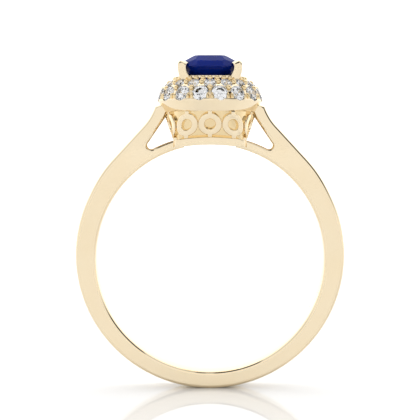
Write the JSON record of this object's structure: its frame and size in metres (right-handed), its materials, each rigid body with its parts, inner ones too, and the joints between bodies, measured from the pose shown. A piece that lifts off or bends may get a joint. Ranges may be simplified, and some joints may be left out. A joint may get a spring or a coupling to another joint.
{
  "type": "engagement ring",
  "caption": "Yellow gold ring with a cushion sapphire in corner claws, a domed double diamond halo, a ringed gallery and cathedral shoulders.",
  "frame": {"origin": "centre of the finger hole, midway across the band", "axes": "+Z from the finger up through the sapphire, Y along the finger, X across the band"},
  "size_m": [0.0204, 0.008, 0.0252],
  "materials": {
    "yellow_gold": "polished 18 ct yellow gold",
    "sapphire": "polished facets, deep blue",
    "diamond": "polished facets, colourless"
  },
  "bodies": {
    "root": {"shank": "yellow_gold", "base_plate": "yellow_gold", "gallery_wall": "yellow_gold", "gallery_ring_01": "yellow_gold", "gallery_ring_02": "yellow_gold", "gallery_ring_03": "yellow_gold", "gallery_ring_04": "yellow_gold", "gallery_ring_05": "yellow_gold", "gallery_ring_06": "yellow_gold", "gallery_ring_07": "yellow_gold", "gallery_ring_08": "yellow_gold", "gallery_ring_09": "yellow_gold", "gallery_ring_10": "yellow_gold", "gallery_ring_11": "yellow_gold", "gallery_ring_12": "yellow_gold", "halo_plate": "yellow_gold", "seat_rail": "yellow_gold", "claw_1": "yellow_gold", "claw_2": "yellow_gold", "claw_3": "yellow_gold", "claw_4": "yellow_gold", "centre_sapphire": "sapphire", "outer_diamond_01": "diamond", "outer_diamond_02": "diamond", "outer_diamond_03": "diamond", "outer_diamond_04": "diamond", "outer_diamond_05": "diamond", "outer_diamond_06": "diamond", "outer_diamond_07": "diamond", "outer_diamond_08": "diamond", "outer_diamond_09": "diamond", "outer_diamond_10": "diamond", "outer_diamond_11": "diamond", "outer_diamond_12": "diamond", "outer_diamond_13": "diamond", "outer_diamond_14": "diamond", "outer_diamond_15": "diamond", "outer_diamond_16": "diamond", "inner_diamond_01": "diamond", "inner_diamond_02": "diamond", "inner_diamond_03": "diamond", "inner_diamond_04": "diamond", "inner_diamond_05": "diamond", "inner_diamond_06": "diamond", "inner_diamond_07": "diamond", "inner_diamond_08": "diamond", "inner_diamond_09": "diamond", "inner_diamond_10": "diamond", "inner_diamond_11": "diamond", "inner_diamond_12": "diamond", "inner_diamond_13": "diamond", "inner_diamond_14": "diamond", "inner_diamond_15": "diamond", "inner_diamond_16": "diamond"}
  },
  "joints": []
}
